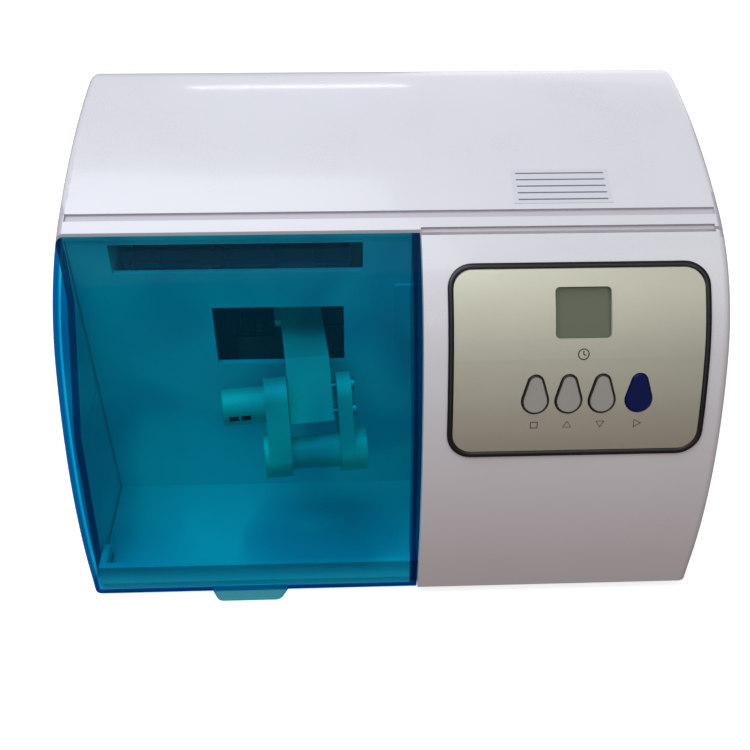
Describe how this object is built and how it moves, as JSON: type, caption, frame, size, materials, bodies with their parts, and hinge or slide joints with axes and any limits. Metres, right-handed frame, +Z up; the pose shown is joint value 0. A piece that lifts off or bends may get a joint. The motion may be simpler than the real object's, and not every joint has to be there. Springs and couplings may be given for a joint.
{
  "type": "dental amalgamator",
  "caption": "Bench-top capsule mixer: sloped white case, tinted swing-up lid over a sprung capsule arm, control panel with display and keys, mains inlet at the back.",
  "frame": {"origin": "Middle of the footprint, on the surface that the rubber feet stand on", "axes": "+X to the right as the user sees it, +Y from the user's side to the back, +Z up"},
  "size_m": [0.215, 0.1476, 0.1448],
  "materials": {
    "case_plastic": "white moulded plastic",
    "lid_tint": "blue-green transparent plastic",
    "liner_plastic": "white moulded plastic",
    "silver_film": "silver printed film",
    "black_trim": "black film edge",
    "clear_pane": "clear pane",
    "display": "grey-green liquid crystal display",
    "button_blue": "blue start key",
    "key_silver": "silver keys with a dark outline",
    "board": "green circuit board",
    "black_plastic": "black moulded plastic",
    "steel": "bright steel",
    "cradle_sheet": "zinc-grey sheet",
    "motor_case": "plated motor can",
    "magnet": "ferrite",
    "copper": "enamelled copper",
    "arm_metal": "satin aluminium",
    "capsule_plastic": "pale capsule plastic",
    "contact_brass": "bare brass",
    "foot_rubber": "black rubber"
  },
  "bodies": {
    "case": {"base_tray": "case_plastic", "top_cover": "case_plastic", "front_fascia": "case_plastic", "chamber_liner": "liner_plastic", "panel_overlay": "silver_film", "panel_border": "black_trim", "lcd_window": "clear_pane", "lcd_module": "display", "control_board": "board", "power_board": "board", "interlock_switch": "black_plastic", "tact_switches": "black_plastic", "brush_holders": "black_plastic", "power_inlet": "black_plastic", "switch_frame": "black_plastic", "fuse_holder": "black_plastic", "fuse_cap": "black_plastic", "lid_hinge_pin": "steel", "board_screws": "steel", "cradle_bolts": "steel", "shaft_bearings": "steel", "restraint_springs": "steel", "case_screws": "steel", "fascia_screws": "steel", "transformer_core": "steel", "motor_cradle": "cradle_sheet", "motor_can": "motor_case", "motor_end_bell": "motor_case", "motor_magnets": "magnet", "transformer_winding": "copper", "inlet_pins": "contact_brass", "rubber_feet": "foot_rubber", "rubber_isolators": "foot_rubber"},
    "lid": {"lid": "lid_tint"},
    "shaft": {"drive_shaft": "steel", "swash_collar": "steel", "swash_bearing": "steel", "armature_core": "steel", "armature_winding": "copper", "commutator": "copper", "cooling_fan": "black_plastic"},
    "arm": {"swing_arm": "arm_metal", "fixed_jaw": "arm_metal", "guide_rods": "steel", "spring_stem": "steel", "jaw_spring": "steel", "capsule_body": "capsule_plastic", "capsule_cap": "capsule_plastic"},
    "sliding_jaw": {"sliding_jaw": "arm_metal", "jaw_knob": "arm_metal"},
    "button_mode": {"button_mode": "key_silver"},
    "button_up": {"button_up": "key_silver"},
    "button_down": {"button_down": "key_silver"},
    "button_start": {"button_start": "button_blue"},
    "rocker": {"switch_rocker": "black_plastic"}
  },
  "joints": [
    {"name": "lid_hinge", "type": "hinge", "parent": "case", "child": "lid", "pos_m": [-0.05075, -0.00867, 0.12258], "axis": [-1, 0, 0], "range_deg": [0, 90]},
    {"name": "drive", "type": "hinge", "parent": "case", "child": "shaft", "pos_m": [-0.034, 0.01577, 0.08], "axis": [1, 0, 0], "continuous": true},
    {"name": "arm_swing", "type": "hinge", "parent": "case", "child": "arm", "pos_m": [-0.034, 0.01577, 0.08], "axis": [0, 0, 1], "range_deg": [-12, 0], "deforming": ["restraint_springs"]},
    {"name": "jaw_slide", "type": "slide", "parent": "arm", "child": "sliding_jaw", "axis": [-0.9945, -0.1045, 0], "range_m": [0, 0.006], "stiffness_N_per_m": 400, "springref_m": -0.003, "deforming": ["jaw_spring"]},
    {"name": "press_mode", "type": "slide", "parent": "case", "child": "button_mode", "axis": [0, 0.9251, -0.3797], "range_m": [0, 0.0008], "stiffness_N_per_m": 600, "springref_m": -0.001},
    {"name": "press_up", "type": "slide", "parent": "case", "child": "button_up", "axis": [0, 0.9251, -0.3797], "range_m": [0, 0.0008], "stiffness_N_per_m": 600, "springref_m": -0.001},
    {"name": "press_down", "type": "slide", "parent": "case", "child": "button_down", "axis": [0, 0.9251, -0.3797], "range_m": [0, 0.0008], "stiffness_N_per_m": 600, "springref_m": -0.001},
    {"name": "press_start", "type": "slide", "parent": "case", "child": "button_start", "axis": [0, 0.9251, -0.3797], "range_m": [0, 0.0008], "stiffness_N_per_m": 600, "springref_m": -0.001},
    {"name": "mains_rocker", "type": "hinge", "parent": "case", "child": "rocker", "pos_m": [-0.022, 0.06943, 0.036], "axis": [1, 0, 0], "range_deg": [0, 24]}
  ]
}
